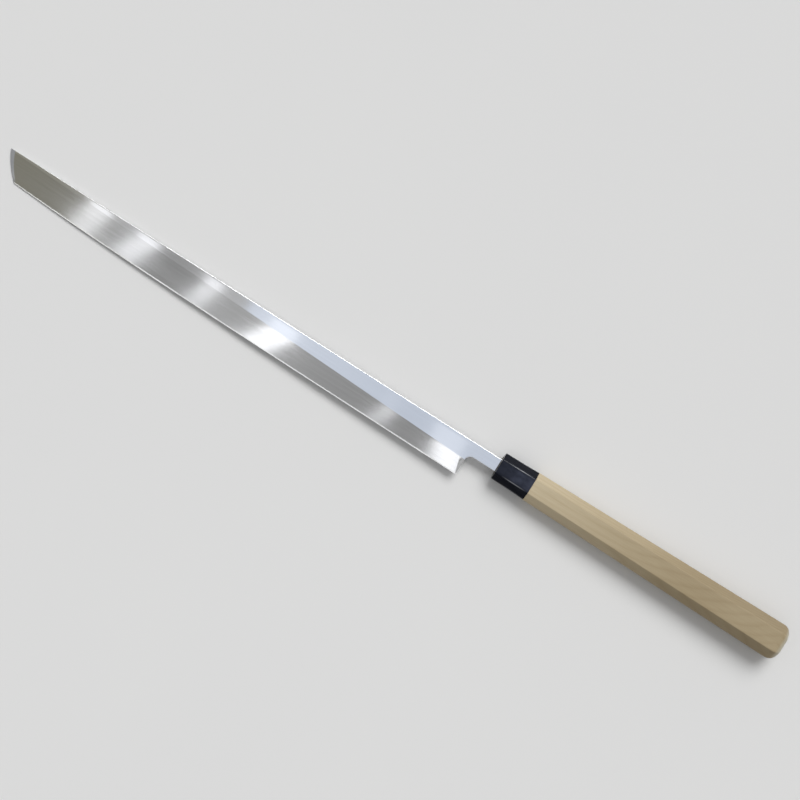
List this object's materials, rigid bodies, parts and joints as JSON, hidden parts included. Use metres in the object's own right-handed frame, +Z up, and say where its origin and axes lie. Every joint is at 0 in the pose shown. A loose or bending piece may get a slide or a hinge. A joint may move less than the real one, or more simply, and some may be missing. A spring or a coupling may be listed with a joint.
{
  "type": "tuna knife",
  "caption": "Long slim kitchen knife for cutting up tuna: ridged double-bevelled steel blade with a slanted tip, and an octagonal wooden handle with a dark horn ferrule.",
  "frame": {"origin": "under the middle of the knife's box, on the surface that it lies on", "axes": "+X from the tip towards the butt, +Y towards the spine with the edge towards -Y, +Z up; the blade dips about 1.1 degrees to its tip, as the knife lies on a table"},
  "size_m": [0.9018, 0.0482, 0.0333],
  "materials": {
    "blade": "satin bevels with lengthwise stone marks, finely polished flats",
    "ferrule": "polished black buffalo horn",
    "handle": "bare sanded magnolia, straight grain",
    "tang_seal": "dark resin"
  },
  "bodies": {
    "root": {"blade": "blade", "ferrule": "ferrule", "handle": "handle", "tang_seal": "tang_seal"}
  },
  "joints": []
}
